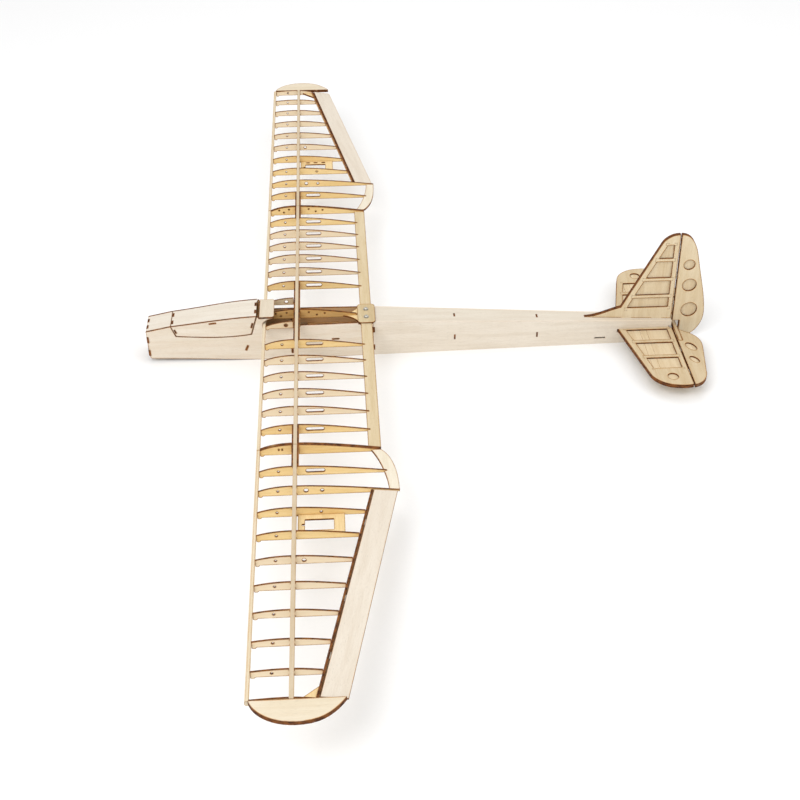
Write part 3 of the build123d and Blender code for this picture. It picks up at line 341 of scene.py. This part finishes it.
dress(
    wood(
        "rib_centre", RIB_GOLD, RIB_GOLD_STREAK, "X", "Y", seed=2.8, rim=1.0,
        tint=paler_between((0.1, 0.26)),
    ),
    "centre_ribs_port", "centre_ribs_starboard",
)
dress(
    wood(
        "rib_outer", RIB_GOLD, RIB_GOLD_STREAK, "X", "Y", seed=6.1, rim=1.0,
        tint=paler_between((0.518, 0.9)),
    ),
    "outer_ribs_port", "outer_ribs_starboard",
)
dress(
    wood("rib_nose", rgb(232, 218, 192), rgb(218, 196, 160), "X", "Y", seed=1.9),
    "root_nose_ribs",
)
dress(
    wood("rib_root_ply", rgb(226, 190, 128), rgb(200, 156, 92), "X", "Y", seed=7.3),
    "centre_rib",
)
dress(
    wood("rib_joint_ply", rgb(238, 210, 152), rgb(220, 182, 116), "X", "Y", seed=5.9),
    "joint_ribs",
)

# ------------------------------------------------------------------ spars and edges
# Square balsa sticks along the span, cut with a knife, so their long faces stay clean.
stick_finish = wood(
    "stick_balsa", rgb(208, 192, 166), rgb(194, 173, 142), "Y", seed=3.7, halo=0.35, rim=0.15,
    reach=0.0012,
)
dress(stick_finish, "spar_centre", "outer_spars")
edge_finish = wood(
    "stick_leading", rgb(222, 208, 182), rgb(210, 192, 160), "Y", seed=8.8, halo=0.8, rim=0.45,
    reach=0.0014,
)
dress(edge_finish, "leading_edge_centre", "outer_leading_edges")
trailing_finish = wood(
    "trailing_balsa", rgb(214, 197, 164), rgb(200, 178, 138), "Y", "Z", seed=1.1, halo=0.9, rim=0.9
)
dress(trailing_finish, "trailing_edge_strip")
curved_finish = wood("curved_trailing", rgb(230, 221, 203), rgb(218, 205, 180), "Y", "Z", seed=4.9)
dress(curved_finish, "curved_trailing_edges")

# ------------------------------------------------------------------ spar braces
# Thin ply strips that flank the spar, laser-cut, so their top edges are dark.
brace_finish = wood("ply_brace", rgb(196, 154, 100), rgb(168, 122, 72), "Y", "X", seed=2.6)
dress(brace_finish, "centre_spar_braces", "joint_spar_braces")

# ------------------------------------------------------------------ false spars and ailerons
# The web ahead of each aileron has a heavily burnt top; the aileron is a tapered balsa plank.
false_finish = wood("web_balsa", rgb(206, 160, 100), rgb(176, 126, 70), "Y", "X", seed=6.6)
dress(false_finish, "false_spars")
for side, lean in (("port", 11.7), ("starboard", -11.7)):
    finish = wood(
        f"aileron_{side}", rgb(224, 214, 199), rgb(212, 199, 181), "Y", "Z", lean=lean,
        seed=3.0 + lean * 0.01, halo=0.55, rim=0.35, reach=0.002,
    )
    dress(finish, f"aileron_{side}")

# ------------------------------------------------------------------ wing tips
# Half-moon balsa plates with burnt rims.
dress(wood("tip_balsa", rgb(226, 214, 192), rgb(214, 198, 170), "X", "Z", seed=5.2), "wing_tips")

# ------------------------------------------------------------------ servo trays and gussets
# Ply plates let in between the ribs.
dress(
    wood("ply_wing_plate", rgb(232, 208, 160), rgb(214, 184, 130), "Y", "Z", seed=7.9),
    "aileron_servo_trays", "wing_gussets",
)

# ------------------------------------------------------------------ wing hold-down plate
# A rounded ply plate over the trailing edge, held by two screws with washers.
dress(
    wood("ply_hold_down", rgb(206, 188, 152), rgb(188, 164, 122), "Y", "Z", seed=9.6),
    "trailing_edge_plate",
)

# ------------------------------------------------------------------ tail surfaces
# Each is a thin core between two open frames of laser-cut balsa, joined by a short strip.
TAIL_CORE = rgb(222, 204, 172)
TAIL_CORE_STREAK = rgb(204, 180, 142)
dress(
    wood("tail_core_flat", TAIL_CORE, TAIL_CORE_STREAK, "Y", "Z", seed=2.0),
    "stabiliser_core", "elevator_core",
)
dress(
    wood("tail_core_upright", TAIL_CORE, TAIL_CORE_STREAK, "Z", "Y", seed=2.4),
    "fin_core", "rudder_core",
)
dress(
    wood(
        "tail_frame_flat", rgb(208, 190, 158), rgb(192, 168, 130), "Y", "Z", seed=8.6,
        reach=0.003, rim=1.0,
    ),
    "stabiliser_frames", "elevator_frames", "elevator_joiner",
)
dress(
    wood(
        "tail_frame_upright", rgb(226, 210, 180), rgb(210, 188, 150), "Z", "Y", seed=8.9,
        reach=0.003, rim=1.0,
    ),
    "fin_frames", "rudder_frames",
)


# ------------------------------------------------------------------ metal and nylon fittings
# Plated screws and washers, bright hinge wire, and thin natural nylon hinge leaves.
def metal(name, colour, rough):
    finish = Finish(name)
    wear = finish.noise(finish.stretched(EVEN), 900.0, 3.0)
    shade = tuple(0.55 * c for c in colour[:3]) + (1.0,)
    worn = finish.blend(wear.over(0.35, 0.75), colour, shade)
    finish.feed(finish.shader.inputs["Base Color"], worn)
    finish.feed(finish.shader.inputs["Roughness"], wear * 0.25 + rough)
    finish.shader.inputs["Metallic"].default_value = 1.0
    finish.bump(wear, 0.15, 0.0001)
    return finish


dress(metal("screw_plated", rgb(222, 220, 212), 0.30), "wing_screws")
dress(metal("washer_plated", rgb(190, 188, 180), 0.25), "wing_washers")
dress(metal("hinge_wire", rgb(200, 200, 200), 0.2), "hinge_pins")
nylon = Finish("hinge_nylon")
cloud = nylon.noise(nylon.stretched(EVEN), 300.0, 2.0)
nylon.feed(
    nylon.shader.inputs["Base Color"],
    nylon.blend(cloud.over(0.3, 0.7), rgb(232, 228, 216), rgb(214, 208, 192)),
)
nylon.feed(nylon.shader.inputs["Roughness"], cloud * 0.2 + 0.35)
nylon.bump(cloud, 0.1, 0.0001)
dress(
    nylon,
    "hinge_fixed_leaves", "aileron_leaves_port", "aileron_leaves_starboard",
    "elevator_leaves", "rudder_leaves",
)

# ------------------------------------------------------------------ floor and light
# A plain white floor under soft light from above and from the camera's side.
REACH = 9  # half the width of the floor, in metres
corners = [(-REACH, -REACH, 0), (REACH, -REACH, 0), (REACH, REACH, 0), (-REACH, REACH, 0)]
floor_mesh = bpy.data.meshes.new("floor")
floor_mesh.from_pydata(corners, [], [(0, 1, 2, 3)])
floor = bpy.data.objects.new("floor", floor_mesh)
bpy.context.scene.collection.objects.link(floor)
paper = Finish("floor_paper")
tooth = paper.noise(paper.place(), 220.0, 2.0)
paper.feed(
    paper.shader.inputs["Base Color"],
    paper.blend(tooth, (0.93, 0.93, 0.93, 1.0), (0.90, 0.90, 0.90, 1.0)),
)
paper.shader.inputs["Roughness"].default_value = 0.9
paper.shader.inputs["Specular IOR Level"].default_value = 0.1
floor.data.materials.append(paper.material)

world = bpy.data.worlds.new("studio")
world.use_nodes = True
world.node_tree.nodes["Background"].inputs["Color"].default_value = (1.0, 1.0, 1.0, 1.0)
world.node_tree.nodes["Background"].inputs["Strength"].default_value = 0.62
bpy.context.scene.world = world


LIGHT_AIM = Vector((0, 0, 0.05))


def soft_box(name, place, size, power):
    """A square area light at a point, aimed at the middle of the airframe."""
    light = bpy.data.lights.new(name, "AREA")
    light.size = size
    light.energy = power
    lamp = bpy.data.objects.new(name, light)
    bpy.context.scene.collection.objects.link(lamp)
    lamp.location = place
    lamp.rotation_mode = "QUATERNION"
    lamp.rotation_quaternion = (Vector(place) - LIGHT_AIM).to_track_quat("Z", "Y")


soft_box("key", (-1.6, -1.9, 2.8), 2.2, 62.0)
soft_box("fill", (2.4, -1.2, 2.2), 2.6, 26.0)
soft_box("top", (0.2, 1.4, 3.2), 3.0, 34.0)
bpy.context.scene.view_settings.view_transform = "Standard"
